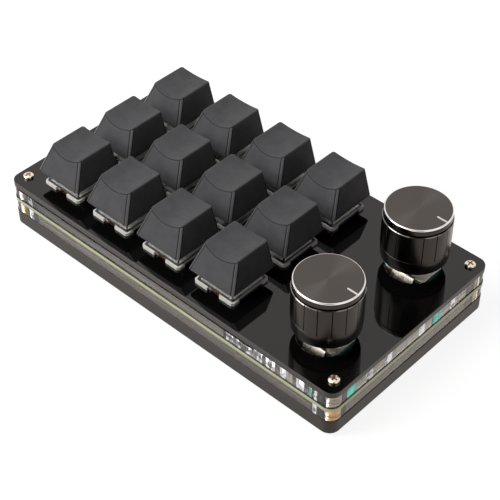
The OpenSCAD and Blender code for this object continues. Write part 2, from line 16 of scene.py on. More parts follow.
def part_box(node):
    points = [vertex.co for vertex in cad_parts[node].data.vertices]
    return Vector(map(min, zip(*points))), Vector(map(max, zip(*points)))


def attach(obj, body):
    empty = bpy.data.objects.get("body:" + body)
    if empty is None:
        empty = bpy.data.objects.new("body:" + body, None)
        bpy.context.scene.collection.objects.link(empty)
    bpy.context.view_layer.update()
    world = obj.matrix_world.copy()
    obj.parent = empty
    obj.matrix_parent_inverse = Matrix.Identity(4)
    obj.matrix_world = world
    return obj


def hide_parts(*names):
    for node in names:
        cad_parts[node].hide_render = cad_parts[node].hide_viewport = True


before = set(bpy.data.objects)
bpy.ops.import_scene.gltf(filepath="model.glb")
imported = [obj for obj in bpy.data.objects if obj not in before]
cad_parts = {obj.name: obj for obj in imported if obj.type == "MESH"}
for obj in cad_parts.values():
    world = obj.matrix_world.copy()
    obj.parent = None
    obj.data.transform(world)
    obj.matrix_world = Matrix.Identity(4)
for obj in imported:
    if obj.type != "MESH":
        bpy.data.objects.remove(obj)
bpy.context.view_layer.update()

MM = 0.001
KEYS = range(1, 13)
SIDES = ("front", "back")


def box_mm(node):
    """The lowest and highest corner of a CAD node, in millimetres."""
    low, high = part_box(node)
    return [v / MM for v in low], [v / MM for v in high]


# %% [markdown]
# ## The camera
# The picture was taken from the keypad's front right corner, about 43 degrees round and 43 degrees up,
# through a long lens. A camera could be placed by eye. Matching corners and edges in the photograph to
# those of the model does better, and gave these numbers.


# %% Place the camera
def put(name, data):
    """A new object in the scene, with its data."""
    made = bpy.data.objects.new(name, data)
    bpy.context.collection.objects.link(made)
    return made


def direction(around, above):
    """A direction out from the keypad: angles round from its front and over the table."""
    return Vector((sin(around) * cos(above), -cos(around) * cos(above), sin(above)))


camera_data = bpy.data.cameras.new("camera")
camera_data.lens = 98.38
camera_data.sensor_width = 36
camera = put("camera", camera_data)
round_angle = radians(42.88)
up_angle = radians(42.69)
roll = radians(0.06)
camera.location = (0.21469, -0.22736, 0.29362)
looking = -direction(round_angle, up_angle)
camera.rotation_euler = (looking.to_track_quat("-Z", "Y") @ Quaternion((0, 0, 1), roll)).to_euler()
bpy.context.scene.camera = camera
bpy.context.scene.view_settings.view_transform = "Standard"
print("camera looks along", [round(v, 3) for v in looking])

# %% [markdown]
# ## Small tools for shader nodes
# Every finish below is a chain of nodes. A few helpers keep those chains readable: they add a node,
# fill or link its sockets, and start a material with its shader's plain numbers.


# %% Helpers for nodes
def fill(tree, node, sockets):
    """Gives each socket a plain value, or a link from another node's output."""
    for key, value in sockets.items():
        if isinstance(value, bpy.types.NodeSocket):
            tree.links.new(value, node.inputs[key])
        else:
            node.inputs[key].default_value = value
    return node


def add(tree, kind, sockets=None, **settings):
    """Adds a shader node with its settings and its sockets."""
    node = tree.nodes.new("ShaderNode" + kind)
    for key, value in settings.items():
        setattr(node, key, value)
    return fill(tree, node, sockets or {})


def calc(tree, operation, *values):
    """The result of a Math node."""
    return add(tree, "Math", dict(enumerate(values)), operation=operation).outputs[0]


def mixed(tree, factor, first, second, blend_type="MIX"):
    """The result of mixing two colours."""
    sockets = {"Factor": factor, 6: first, 7: second}
    return add(tree, "Mix", sockets, data_type="RGBA", blend_type=blend_type).outputs[2]


def stretched(tree, place, scale, shift=(0.0, 0.0, 0.0)):
    """A place, scaled and then moved; a scale under 1 draws a texture out."""
    return add(tree, "Mapping", {"Vector": place, "Scale": scale, "Location": shift}).outputs[0]


def ranged(tree, value, from_min=0.0, from_max=1.0, to_min=0.0, to_max=1.0, kind="LINEAR"):
    """A value moved from one range to another."""
    sockets = {"Value": value, "From Min": from_min, "From Max": from_max, "To Min": to_min, "To Max": to_max}
    return add(tree, "MapRange", sockets, interpolation_type=kind).outputs[0]


def texture(tree, kind, place, size, **sockets):
    """The outputs of a texture whose features are about size metres wide."""
    return add(tree, kind, {"Vector": place, "Scale": calc(tree, "DIVIDE", 1.0, size), **sockets}).outputs


def new_group(name, inputs, outputs):
    """An empty node group with sockets for numbers; only a Place is a vector."""
    tree = bpy.data.node_groups.new(name, "ShaderNodeTree")
    for way, labels in (("INPUT", inputs), ("OUTPUT", outputs)):
        for label in labels:
            kind = "NodeSocketVector" if label == "Place" else "NodeSocketFloat"
            tree.interface.new_socket(label, in_out=way, socket_type=kind)
    return tree, tree.nodes.new("NodeGroupInput").outputs, tree.nodes.new("NodeGroupOutput")


def use(tree, group, sockets):
    """Places a node group in a material and gives its outputs."""
    return add(tree, "Group", sockets, node_tree=group).outputs


print("node helpers ready")


# %% Helpers for materials
def tone(red, green, blue):
    """A colour as a picture shows it, 0 to 255, in the linear values that a shader needs."""
    line = [v / 255 for v in (red, green, blue)]
    return tuple(v / 12.92 if v < 0.0405 else ((v + 0.055) / 1.055) ** 2.4 for v in line) + (1.0,)


def parts_of(material):
    """A material's node tree, its shader, and the place on the piece in metres."""
    tree = material.node_tree
    return tree, tree.nodes["Principled BSDF"], add(tree, "TexCoord").outputs["Object"]


def finish(name, colour, roughness, **plain):
    """A material and its parts; plain holds other sockets, with underscores for spaces."""
    material = bpy.data.materials.new(name)
    material.use_nodes = True
    material.diffuse_color = colour
    tree, shader, place = parts_of(material)
    plain = {key.replace("_", " "): value for key, value in plain.items()}
    fill(tree, shader, {"Base Color": colour, "Roughness": roughness, **plain})
    return material, tree, shader, place


def toned(tree, shader, colour, factor):
    """Feeds the base colour; a factor near 1 brightens and darkens the colour."""
    fill(tree, shader, {"Base Color": mixed(tree, 1.0, colour, factor, "MULTIPLY")})


def bump(tree, shader, height, distance):
    """Feeds a height into the shader's normal; distance is the relief's depth in metres."""
    relief = add(tree, "Bump", {"Height": height, "Distance": distance, "Strength": 1.0})
    fill(tree, shader, {"Normal": relief.outputs["Normal"]})


print("material helpers ready")

# %% [markdown]
# ## Effects that several finishes share
# Grain, faint smudges, dust and the rings that a lathe leaves turn up on many pieces. Each is a node
# group with named inputs, so that a finish only says how coarse or how strong it is.


# %% Node group: moulded grain
def build_grain():
    """Fine cloudy relief of moulded plastic: a height, and a tone that wanders round 1."""
    tree, given, out = new_group("moulded grain", ["Place", "Size", "Tone Swing"], ["Height", "Tone"])
    fine = texture(tree, "TexNoise", given["Place"], given["Size"], Detail=3.0)["Fac"]
    broad_size = calc(tree, "DIVIDE", given["Size"], 0.06)
    broad = texture(tree, "TexNoise", given["Place"], broad_size)["Fac"]
    centred = calc(tree, "SUBTRACT", calc(tree, "ADD", fine, broad), 1.0)
    swing = calc(tree, "MULTIPLY_ADD", centred, given["Tone Swing"], 1.0)
    fill(tree, out, {"Height": fine, "Tone": swing})
    return tree


grain = build_grain()
print("group:", grain.name)


# %% Node group: smudges
def build_smudges():
    """Soft patches that dull a surface a little, as handling does; gives a roughness."""
    tree, given, out = new_group("smudges", ["Place", "Size", "Least", "Most"], ["Roughness"])
    cloud = texture(tree, "TexNoise", given["Place"], given["Size"], Detail=6.0, Distortion=1.2)
    fill(tree, out, {"Roughness": ranged(tree, cloud["Fac"], 0.35, 0.75, given["Least"], given["Most"])})
    return tree


smudges = build_smudges()
print("group:", smudges.name)


# %% Node group: dust
def build_dust_and_glints():
    """Sparse pale specks, each a fraction of a millimetre, at random spots; gives a mask."""
    tree, given, out = new_group("dust_and_glints", ["Place", "Spacing", "Speck", "Share"], ["Mask"])
    cells = texture(tree, "TexVoronoi", given["Place"], given["Spacing"])
    near = calc(tree, "LESS_THAN", cells["Distance"], given["Speck"])
    pick = add(tree, "SeparateColor", {"Color": cells["Color"]}).outputs[0]
    chosen = calc(tree, "LESS_THAN", pick, given["Share"])
    fill(tree, out, {"Mask": calc(tree, "MULTIPLY", near, chosen)})
    return tree


dust_and_glints = build_dust_and_glints()
print("group:", dust_and_glints.name)


# %% Node group: lathe rings
def build_lathe_rings():
    """Uneven fine lines that a cutting tool leaves along one coordinate: a height and a tone."""
    tree, given, out = new_group("lathe rings", ["Along", "Pitch", "Tone Swing"], ["Height", "Tone"])
    steps = calc(tree, "DIVIDE", given["Along"], given["Pitch"])
    lines = add(tree, "TexNoise", {"W": steps, "Scale": 1.0, "Detail": 2.0}, noise_dimensions="1D")
    centred = calc(tree, "SUBTRACT", lines.outputs["Fac"], 0.5)
    swing = calc(tree, "MULTIPLY_ADD", centred, given["Tone Swing"], 1.0)
    fill(tree, out, {"Height": lines.outputs["Fac"], "Tone": swing})
    return tree


lathe_rings = build_lathe_rings()
print("group:", lathe_rings.name)

# %% [markdown]
# ## The finish that most pieces share
# Nearly all plastics and cut edges are one recipe: a colour that wanders a little with the grain, over a
# faint relief. One function with a size, a swing and a depth says what sets them apart.


# %% Finish: grained
def smudged(tree, shader, place, size, least, most):
    """Lets the roughness wander from least to most in patches of a size in metres."""
    patches = use(tree, smudges, {"Place": place, "Size": size, "Least": least, "Most": most})
    fill(tree, shader, {"Roughness": patches["Roughness"]})


def moulded(name, colour, roughness, size=0.0004, swing=0.15, depth=0.00001, stretch=None, **plain):
    """A finish with grain: its size and depth in metres, the swing of its tone, and how it is stretched."""
    material, tree, shader, place = finish(name, colour, roughness, **plain)
    if stretch:
        place = stretched(tree, place, stretch)
    marks = use(tree, grain, {"Place": place, "Size": size, "Tone Swing": swing})
    toned(tree, shader, colour, marks["Tone"])
    if depth:
        bump(tree, shader, marks["Height"], depth)
    return material


def cut_edge(name, colour, roughness, shine=0.5):
    """The satin edge of a cut black sheet, with faint upright marks of the cut."""
    return moulded(name, colour, roughness, 0.00022, 0.35, 0.00001, (1.0, 1.0, 0.06),
                   IOR=1.49, Specular_IOR_Level=shine)


print("grained finishes ready")

# %% [markdown]
# ## Small tools for meshes
# The plates, frames and sockets are all flat outlines with holes, given a thickness. Blender could fill
# a curve for that. Points worked out in code can do more: each plate has its own tiny chamfer, and its
# faces and its sawn edges carry different finishes.


# %% Outlines
def grown(loop, step):
    """A closed outline moved outwards by a step, with its corners kept sharp."""
    if not step:
        return [tuple(p) for p in loop]
    turn = sum(a[0] * b[1] - b[0] * a[1] for a, b in zip(loop, loop[1:] + loop[:1]))
    step = step if turn > 0 else -step
    moved = []
    for before, here, after in zip(loop[-1:] + loop[:-1], loop, loop[1:] + loop[:1]):
        ins = Vector((here[0] - before[0], here[1] - before[1])).normalized()
        outs = Vector((after[0] - here[0], after[1] - here[1])).normalized()
        side = Vector((ins.y + outs.y, -ins.x - outs.x)) / (1 + ins.dot(outs))
        moved.append((here[0] + side.x * step, here[1] + side.y * step))
    return moved


def circle(x, y, radius, count=48):
    """A circle, anticlockwise from its right."""
    angles = [2 * pi * i / count for i in range(count)]
    return [(x + radius * cos(a), y + radius * sin(a)) for a in angles]


def rectangle(x0, y0, x1, y1):
    """A plain rectangle, anticlockwise from its lower left."""
    return [(x0, y0), (x1, y0), (x1, y1), (x0, y1)]


def rounded_box(x0, y0, x1, y1, radius, steps=8, runs=1):
    """A rounded rectangle, anticlockwise from its lower left; runs splits its front and back."""
    left, right, low, high = x0 + radius, x1 - radius, y0 + radius, y1 - radius
    loop = []
    for cx, cy, start in ((left, low, 180), (right, low, 270), (right, high, 0), (left, high, 90)):
        if start == 270:
            loop += [(blend(left, right, i / runs), y0) for i in range(1, runs)]
        if start == 90:
            loop += [(blend(right, left, i / runs), y1) for i in range(1, runs)]
        angles = [radians(start + 90 * i / steps) for i in range(steps + 1)]
        loop += [(cx + radius * cos(a), cy + radius * sin(a)) for a in angles]
    return loop


def middle_box(x, y, half_x, half_y, radius, steps):
    """A rounded box round its middle."""
    return rounded_box(x - half_x, y - half_y, x + half_x, y + half_y, radius, steps)


def cross(x, y, arm, thickness):
    """A plus sign with two bars of one length."""
    a, b = arm / 2, thickness / 2
    points = [(-b, -a), (b, -a), (b, -b), (a, -b), (a, b), (b, b),
              (b, a), (-b, a), (-b, b), (-a, b), (-a, -b), (-b, -b)]
    return [(x + px, y + py) for px, py in points]


def blend(a, b, t):
    """The value a share t of the way from a to b."""
    return a + (b - a) * t


def at_level(loop, z):
    """A flat outline, lifted to a level."""
    return [(x, y, z) for x, y in loop]


def turned(profile, x, y, count=48):
    """Rings of a lathe form: one closed loop for each (radius, level) of the profile."""
    return [at_level(circle(x, y, radius, count), z) for radius, z in profile]


def upright(loop, low, high, chamfer):
    """Rings up a wall, grown by a chamfer at both ends; round an outline it is negative."""
    slope = abs(chamfer)
    levels = [(low, chamfer), (low + slope, 0.0), (high - slope, 0.0), (high, chamfer)]
    if not chamfer:
        levels = [levels[0], levels[-1]]
    return [at_level(grown(loop, step), z) for z, step in levels]


print("outline helpers ready")


# %% Gather a piece's points and faces
class Shape:
    """Points in millimetres and faces of one piece; a mark, or a list of them, picks the finishes."""

    def __init__(self):
        self.points, self.faces, self.marks = [], [], []

    def add(self, points, faces, mark=0):
        start = len(self.points)
        self.points += [tuple(p) for p in points]
        self.faces += [[start + i for i in face] for face in faces]
        self.marks += mark if isinstance(mark, list) else [mark] * len(faces)

    def rings(self, loops, mark=0, closed=False):
        """Walls of quads through a row of loops; closed joins the last loop to the first."""
        count = len(loops[0])
        faces = [[i, (i + 1) % count, count + (i + 1) % count, count + i] for i in range(count)]
        for a, b in zip(loops, loops[1:] + (loops[:1] if closed else [])):
            self.add(a + b, faces, mark)

    def cap(self, loops, mark=0):
        """A flat face with holes: the first loop is the outside, the others are the holes."""
        points = [p for loop in loops for p in loop]
        self.add(points, tessellate_polygon([[Vector(p) for p in loop] for loop in loops]), mark)

    def slab(self, outer, holes, low, high, chamfer=0.0, faces=0, edges=1, hole_edges=None):
        """A plate with chamfered rims; hole_edges has a mark, or a list, for each hole's wall."""
        loops = [outer] + holes
        steps = [-chamfer] + [chamfer] * len(holes)
        marks = [edges] + (hole_edges or [edges] * len(holes))
        for loop, step, mark in zip(loops, steps, marks):
            self.rings(upright(loop, low, high, step), mark)
        for z in (low, high):
            self.cap([at_level(grown(loop, step), z) for loop, step in zip(loops, steps)], faces)

    def stamp(self, other, x, y, z, way=1):
        """Copies another gathered shape to a place; way is -1 for upside down."""
        points = [(px + x, way * py + y, way * pz + z) for px, py, pz in other.points]
        self.add(points, other.faces, other.marks)

    def build(self, name, body, materials, smooth_angle=35, slot=None, replaces=None):
        """Makes the object, welds it, turns its faces outwards and lets it ride on its body."""
        mesh = bpy.data.meshes.new(name)
        mesh.from_pydata([[v * MM for v in p] for p in self.points], [], self.faces)
        for polygon, mark in zip(mesh.polygons, self.marks):
            polygon.material_index = mark
        for material in materials:
            mesh.materials.append(material)
        work = bmesh.new()
        work.from_mesh(mesh)
        bmesh.ops.remove_doubles(work, verts=work.verts, dist=1e-7)
        bmesh.ops.recalc_face_normals(work, faces=work.faces)
        work.to_mesh(mesh)
        work.free()
        mesh.shade_smooth()
        mesh.set_sharp_from_angle(angle=radians(smooth_angle))
        piece = put(name, mesh)
        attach(piece, body)
        if replaces:
            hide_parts(replaces)


print("mesh helpers ready")

# %% [markdown]
# ## The black top plate
# The deck is a sheet of cast acrylic, laser cut. Its face mirrors the studio like a dark window, and its
# cut edges are satin and look greyer. The CAD plate has one finish all over, so a plate with a fine
# chamfer takes its place, with one finish for the faces and another for the edges.


# %% Finish: polished black sheet
def black_sheet():
    """Cast black sheet, nearly a mirror, with smudges and a few pale specks of dust."""
    black = tone(10, 9, 9)
    material, tree, shader, place = finish("polished black sheet", black, 0.03, IOR=1.49)
    smudged(tree, shader, place, 0.018, 0.015, 0.07)
    specks = use(tree, dust_and_glints, {"Place": place, "Spacing": 0.0045, "Speck": 0.03, "Share": 0.16})
    fill(tree, shader, {"Base Color": mixed(tree, specks["Mask"], black, tone(190, 184, 176))})
    return material


sheet_face = black_sheet()
sheet_edge = cut_edge("cut edge of the black sheet", tone(38, 33, 30), 0.38)
print("sheet finishes ready")


# %% Sizes that the plates share
def middle(box):
    """The middle of a box, seen from above."""
    return tuple((box[0][i] + box[1][i]) / 2 for i in (0, 1))


case_low, case_high = box_mm("top_plate")
HALF_X, HALF_Y, DECK = case_high
CORNER, CHAMFER, BOTTOM_CHAMFER = 3.5, 0.1, 0.15
SCREW_X, SCREW_Y = HALF_X - 3.8, HALF_Y - 4.8
SCREWS = [(sx * SCREW_X, sy * SCREW_Y) for sx in (-1, 1) for sy in (-1, 1)]
KEY_HOLE, KEY_HOLE_CORNER, KNOB_HOLE_R = 7.0, 0.3, 8.5
SCREW_HOLE_R, COUNTERBORE_R, COUNTERBORE_DEPTH = 1.1, 1.85, 1.4
KEY_BOX = {k: box_mm(f"keycap_{k}") for k in KEYS}
KEY_XY = {k: middle(KEY_BOX[k]) for k in KEYS}
KNOB_BOX = {side: box_mm(f"knob_{side}") for side in SIDES}
KNOB_XY = {side: middle(KNOB_BOX[side]) for side in SIDES}
case_outline = middle_box(0, 0, HALF_X, HALF_Y, CORNER, 12)
print("first key at", KEY_XY[1], "and knobs at", KNOB_XY)

# %% Build the top plate
plate = Shape()
plate_holes = [middle_box(x, y, KEY_HOLE, KEY_HOLE, KEY_HOLE_CORNER, 3) for x, y in KEY_XY.values()]
plate_holes += [circle(x, y, KNOB_HOLE_R, 96) for x, y in KNOB_XY.values()]
plate_holes += [circle(x, y, SCREW_HOLE_R, 24) for x, y in SCREWS]
plate.slab(case_outline, plate_holes, case_low[2], DECK, CHAMFER)
plate.build("top_sheet", "case", [sheet_face, sheet_edge], slot="black_gloss", replaces="top_plate")
print("top plate:", len(plate.points), "points")

# %% [markdown]
# ## The thick bottom plate
# The bottom plate is a second black sheet, sawn thicker, and its wide edge runs all round the keypad.
# It gets the same two finishes in duller versions, and the counterbores for the screws under it.

# %% Build the bottom plate
bottom_face = cut_edge("matt black sheet", tone(22, 21, 21), 0.45)
bottom_edge = cut_edge("sawn edge of the bottom sheet", tone(31, 26, 24), 0.42, 0.38)
low_z, high_z = (corner[2] for corner in box_mm("bottom_plate"))
step_z = low_z + COUNTERBORE_DEPTH
bottom = Shape()
for z, radius in ((low_z, COUNTERBORE_R), (high_z, SCREW_HOLE_R)):
    loops = [grown(case_outline, -BOTTOM_CHAMFER)] + [circle(x, y, radius, 24) for x, y in SCREWS]
    bottom.cap([at_level(loop, z) for loop in loops])
bottom.rings(upright(case_outline, low_z, high_z, -BOTTOM_CHAMFER), 1)
bore = [(COUNTERBORE_R, low_z), (COUNTERBORE_R, step_z), (SCREW_HOLE_R, step_z), (SCREW_HOLE_R, high_z)]
for x, y in SCREWS:
    bottom.rings(turned(bore, x, y, 24), 1)
bottom.build("bottom_sheet", "case", [bottom_face, bottom_edge], slot="black_plate", replaces="bottom_plate")
print("bottom plate:", round(high_z - low_z, 2), "mm thick")

# %% [markdown]
# ## The clear frames
# Two clear acrylic frames hold the plates apart. Light enters their edges, bounces between their flat
# faces and comes out somewhere else, which makes the bands that the photograph shows. A see-through
# colour can't do that, so these are real glass shaders on closed meshes. A hair of air is left above and
# below each frame: without it the light would leave the sheet at once.
#
# The walls of the windows inside the sheet catch the light from behind. They are made as mirrors, with
# level stripes where the cut is smooth and broken patches where it is rough. The light and dark of these
# stripes and patches, and their pale specks, are painted glints in the mirror's colour. The walls on the
# right are lighter copies with painted light where that side lies in shade, and one teal wall is a painted
# reflection of the encoders.


# %% Finishes: clear acrylic and its inner cut walls
def clear_sheet(name, colour, least, most):
    """Clear acrylic, polished more or less from patch to patch, with faint streaks."""
    material, tree, shader, place = finish(name, colour, least, IOR=1.49, Transmission_Weight=1.0)
    smudged(tree, shader, place, 0.004, least, most)
    along = stretched(tree, place, (0.05, 0.05, 1.0))
    streaks = use(tree, grain, {"Place": along, "Size": 0.0003, "Tone Swing": 0.1})
    bump(tree, shader, streaks["Height"], 2e-6)
    return material


def build_glints():
    """What a cut wall inside a clear sheet shows: level stripes and broken facets."""
    tree, given, out = new_group(
        "cut wall glints", ["Place", "Stripe Size", "Facet Size"], ["Stripes", "Facets"]
    )
    flat = stretched(tree, given["Place"], (0.02, 0.02, 1.0))
    lines = texture(tree, "TexNoise", flat, given["Stripe Size"], Detail=2.0)
    tall = stretched(tree, given["Place"], (1.0, 1.0, 0.6))
    cells = texture(tree, "TexVoronoi", tall, given["Facet Size"])
    pick = add(tree, "SeparateColor", {"Color": cells["Color"]}).outputs[0]
    stripes = ranged(tree, lines["Fac"], 0.44, 0.56)
    fill(tree, out, {"Stripes": stripes, "Facets": ranged(tree, pick, 0.1, 0.6)})
    return tree


glints = build_glints()


def cut_wall(name, kind, dark, light, relief, roughness=0.25, share=0.06):
    """An inner cut wall, a mirror for the light in the sheet; kind is Stripes or Facets."""
    material, tree, shader, place = finish(name, light, roughness, Metallic=1.0)
    marks = use(tree, glints, {"Place": place, "Stripe Size": 0.0009, "Facet Size": 0.0011})
    # The pale specks and the light and dark stripes or facets are painted glints in the mirror's colour.
    specks = use(tree, dust_and_glints, {"Place": place, "Spacing": 0.0022, "Speck": 0.09, "Share": share})
    wall = mixed(tree, marks[kind], dark, light)
    fill(tree, shader, {"Base Color": mixed(tree, specks["Mask"], wall, tone(200, 196, 190))})
    bump(tree, shader, marks[kind], relief)
    return material


clear_upper = clear_sheet("clear sheet with a polished edge", (0.96, 0.96, 0.96, 1), 0.0, 0.03)
clear_lower = clear_sheet("clear sheet with a hazy edge", (0.93, 0.91, 0.91, 1), 0.05, 0.14)
# Wall tones: painted glints, lighter copies with painted light for the right-hand walls, a teal painted
# reflection.
striped_wall = cut_wall("striped cut wall", "Stripes", tone(44, 42, 41), tone(146, 141, 137), 2e-6, 0.4)
broken_wall = cut_wall("broken cut wall", "Facets", tone(84, 83, 88), tone(240, 241, 250), 2e-5, 0.2)
grey_wall = cut_wall("grey cut wall", "Stripes", tone(128, 124, 120), tone(182, 177, 172), 4e-6, 0.3)
# Teal tones on a cut wall: a painted reflection of the teal encoder bases.
painted_teal_reflection = cut_wall("painted teal reflection", "Facets", tone(40, 170, 158), tone(90, 222, 205), 1e-5)
hazy_wall = cut_wall("hazy cut wall", "Stripes", tone(124, 118, 113), tone(142, 136, 131), 1e-6, 0.6, 0.2)
pale_wall = cut_wall("pale cut wall", "Stripes", tone(142, 137, 132), tone(162, 157, 151), 1e-6, 0.5, 0.2)
print("two clear finishes and six cut walls ready")

# %% Sizes that the two frames share
AIR, INSET, FRAME_WALL, FRAME_CHAMFER, POST = 0.02, 0.2, 5.0, 0.08, 3.7
SWITCH_ROOM, STANDOFF_HOLE_R = 15.2, 2.0
CHIP_R, CHIP_NOTCH, CHIP_BULGE, CHIP_SIDES, CHIP_TURN = 0.95, 0.35, 0.15, 9, 0.3
CHIP_X, CHIP_Y = SCREW_X - 3.9, SCREW_Y + 1.6
IN_X, IN_Y = HALF_X - INSET, HALF_Y - INSET
WINDOW_X, WINDOW_Y = IN_X - FRAME_WALL, IN_Y - FRAME_WALL
block_x = sum(x for x, y in KEY_XY.values()) / len(KEYS)
block_y = middle(box_mm("switch_bases"))[1]
span_x = (KEY_XY[4][0] - KEY_XY[1][0] + SWITCH_ROOM) / 2
span_y = (KEY_XY[9][1] - KEY_XY[1][1] + SWITCH_ROOM) / 2
post_x, post_y = SCREW_X - POST, SCREW_Y - POST
front_step = [(post_x, -WINDOW_Y), (post_x, -post_y)]
back_step = [(WINDOW_X, post_y), (post_x, post_y), (post_x, WINDOW_Y)]
frame_outline = middle_box(0, 0, IN_X, IN_Y, CORNER - INSET, 12)
standoff_holes = [circle(x, y, STANDOFF_HOLE_R, 32) for x, y in SCREWS]


def chip_hole(x, y):
    """A small ragged hole beside a standoff, whose facets sparkle through the corner."""
    points = []
    for i in range(CHIP_SIDES):
        radius = CHIP_R - CHIP_NOTCH * (i % 2) + CHIP_BULGE * (i % 3)
        angle = 2 * pi * i / CHIP_SIDES + CHIP_TURN
        points.append((x + radius * cos(angle), y + radius * sin(angle)))
    return points


ragged = [chip_hole(sx * CHIP_X, sy * CHIP_Y) for sx in (-1, 1) for sy in (-1, 1)]
print("windows reach", WINDOW_X, "and", WINDOW_Y, "mm from the middle")

# %% [markdown]
# ### The upper frame
# Its glints come in runs along the front and the right wall of the knobs' window. Each run is split into
# small teeth that lean by turns, so that some of them mirror the lamp and others the dark.

# %% Build the upper frame
STRIPED, BROKEN, GREY, TEAL_REFLECTION = 1, 2, 3, 4
TOOTH_WIDTHS, TOOTH_DEPTHS = (1.1, 1.7, 0.8, 1.4), (0.3, 0.12, 0.25, 0.05)
TOOTH_LEAST, TOOTH_BACK = 0.3, 0.06
FRONT_RUNS = [
    (25.2, STRIPED), (28.0, BROKEN), (29.0, GREY), (31.4, BROKEN), (33.0, STRIPED), (36.0, BROKEN),
    (37.2, GREY), (39.2, BROKEN), (40.6, STRIPED), (44.0, BROKEN), (46.0, STRIPED), (48.4, BROKEN),
    (50.6, GREY), (52.0, STRIPED), (55.2, BROKEN), (56.6, STRIPED), (57.4, TEAL_REFLECTION), (post_x, BROKEN),
]
# The right wall's runs are mostly grey wall, a lighter copy with painted light.
RIGHT_RUNS = [
    (-26.8, GREY), (-22.8, TEAL_REFLECTION), (-18.8, GREY), (-16.0, BROKEN), (-10.4, GREY), (-7.4, BROKEN), (5.0, GREY),
    (7.6, BROKEN), (11.2, GREY), (15.2, TEAL_REFLECTION), (20.0, GREY), (22.4, BROKEN), (post_y, GREY),
]
NOTCH_GAP = 0.1
STRIP_OUT, STRIP_IN, STRIP_LOW, STRIP_HIGH, STRIP_END = 0.05, 0.01, 0.75, 0.02, 1.0


def sawtooth(start, runs, rising):
    """Splits a wall's runs into leaning facets: (place along, depth, mark of the next side)."""
    teeth, here, n = [], start, 0
    for end, mark in runs:
        while end - here > TOOTH_LEAST:
            width, depth = min(TOOTH_WIDTHS[n % 4], end - here), TOOTH_DEPTHS[n % 4]
            first, last = (0.0, depth) if rising else (depth, 0.0)
            teeth += [(here, first, mark), (here + width - TOOTH_BACK, last, STRIPED)]
            here, n = here + width, n + 1
        here = end
    return teeth


up_low, up_high = box_mm("upper_frame")
socket_low, socket_high = box_mm("cable_socket")
key_window = middle_box(block_x, block_y, span_x, span_y, 0.4, 3)
left_x = 2 * KNOB_XY["front"][0] - WINDOW_X
walls = [(along, depth - WINDOW_Y, mark) for along, depth, mark in sawtooth(left_x, FRONT_RUNS, True)]
walls += [(x, y, GREY) for x, y in front_step]
walls += [(WINDOW_X - depth, along, mark) for along, depth, mark in sawtooth(-post_y, RIGHT_RUNS, False)]
walls += [(x, y, GREY) for x, y in back_step + [(left_x, WINDOW_Y)]]
knob_window = [(x, y) for x, y, mark in walls]
knob_marks = [mark for x, y, mark in walls]
notch_x0, notch_x1 = socket_low[0] - NOTCH_GAP, socket_high[0] + NOTCH_GAP
notch_y = socket_low[1] - NOTCH_GAP
cut = next(i for i, p in enumerate(frame_outline) if p[1] > IN_Y - 1e-6 and p[0] < notch_x0)
notch = [(notch_x1, IN_Y), (notch_x1, notch_y), (notch_x0, notch_y), (notch_x0, IN_Y)]
notched = frame_outline[:cut] + notch + frame_outline[cut:]
upper = Shape()
upper.slab(notched, [key_window, knob_window] + standoff_holes + ragged, up_low[2] + AIR, up_high[2] - AIR,
           FRAME_CHAMFER, 0, 0, [STRIPED, knob_marks, 0, 0, 0, 0] + [BROKEN] * 4)
upper.build("upper_clear_frame", "case", [clear_upper, striped_wall, broken_wall, grey_wall, painted_teal_reflection],
            slot="clear_upper", replaces="upper_frame")
# A thin dark strip just in front of the upper frame's top: a painted shadow under the top sheet.
seam = Shape()
seam.slab(rectangle(CORNER - IN_X, -IN_Y - STRIP_OUT, left_x - STRIP_END, -IN_Y - STRIP_IN), [],
          up_high[2] - STRIP_LOW, up_high[2] - STRIP_HIGH, edges=0)
seam.build("upper_painted_shadow", "case", [cut_edge("painted shadow strip", tone(14, 13, 13), 0.7, 0.05)])
print("upper frame:", len(knob_window), "corners round its knob window")

# %% [markdown]
# ### The lower frame
# It has one window under both the keys and the knobs. Its edge is hazier, so plain walls are enough.

# %% Build the lower frame
HAZY, SPARKLING, PALE = 1, 2, 3
lo_low, lo_high = box_mm("lower_frame")
win_left = block_x - span_x
lower_window = [(win_left, -WINDOW_Y)] + front_step + [(WINDOW_X, -post_y)] + back_step
lower_window += [(win_left, WINDOW_Y)]
# The walls on the right take the pale wall, a lighter copy with painted light; the others are hazy.
lower_marks = [HAZY] * 3 + [PALE] * 3 + [HAZY] * 2
lower = Shape()
lower.slab(frame_outline, [lower_window] + standoff_holes + ragged, lo_low[2] + AIR, lo_high[2] - AIR,
           FRAME_CHAMFER, 0, 0, [lower_marks, 0, 0, 0, 0] + [SPARKLING] * 4)
lower.build("lower_clear_frame", "case", [clear_lower, hazy_wall, broken_wall, pale_wall],
            slot="clear_lower", replaces="lower_frame")
print("lower frame:", len(lower.faces), "faces")

# %% [markdown]
# ## The circuit board
# The board is glass-fibre sheet with a black mask on both faces. Its cut edge has no mask, and the bare
# fibre glows yellow-green between the two clear frames. A thin band along the top of the edge is darker,
# in the mask's finish.

# %% Build the board
DARK_BAND_HEIGHT, BOARD_CHAMFER, SWITCH_POST_R = 0.45, 0.05, 2.05
mask_face = moulded("black board mask", tone(20, 22, 20), 0.35, 0.0006, 0.4, IOR=1.5)
fibre_edge = moulded("bare fibre edge", tone(186, 192, 154), 0.5, 0.00012, 0.3,
                     stretch=(0.1, 0.1, 1.0), Metallic=0.5)
bo_low, bo_high = box_mm("circuit_board")
dark_band_z = bo_high[2] - DARK_BAND_HEIGHT
board = Shape()
board_holes = standoff_holes + [circle(x, y, SWITCH_POST_R, 24) for x, y in KEY_XY.values()]
board.slab(case_outline, board_holes, bo_low[2], dark_band_z, BOARD_CHAMFER)
# The top of the cut edge is darker, in the mask's finish.
board.slab(case_outline, board_holes, dark_band_z, bo_high[2], BOARD_CHAMFER, edges=0)
board.build("mask_board", "case", [mask_face, fibre_edge], slot="board", replaces="circuit_board")
print("board:", len(board_holes), "holes")
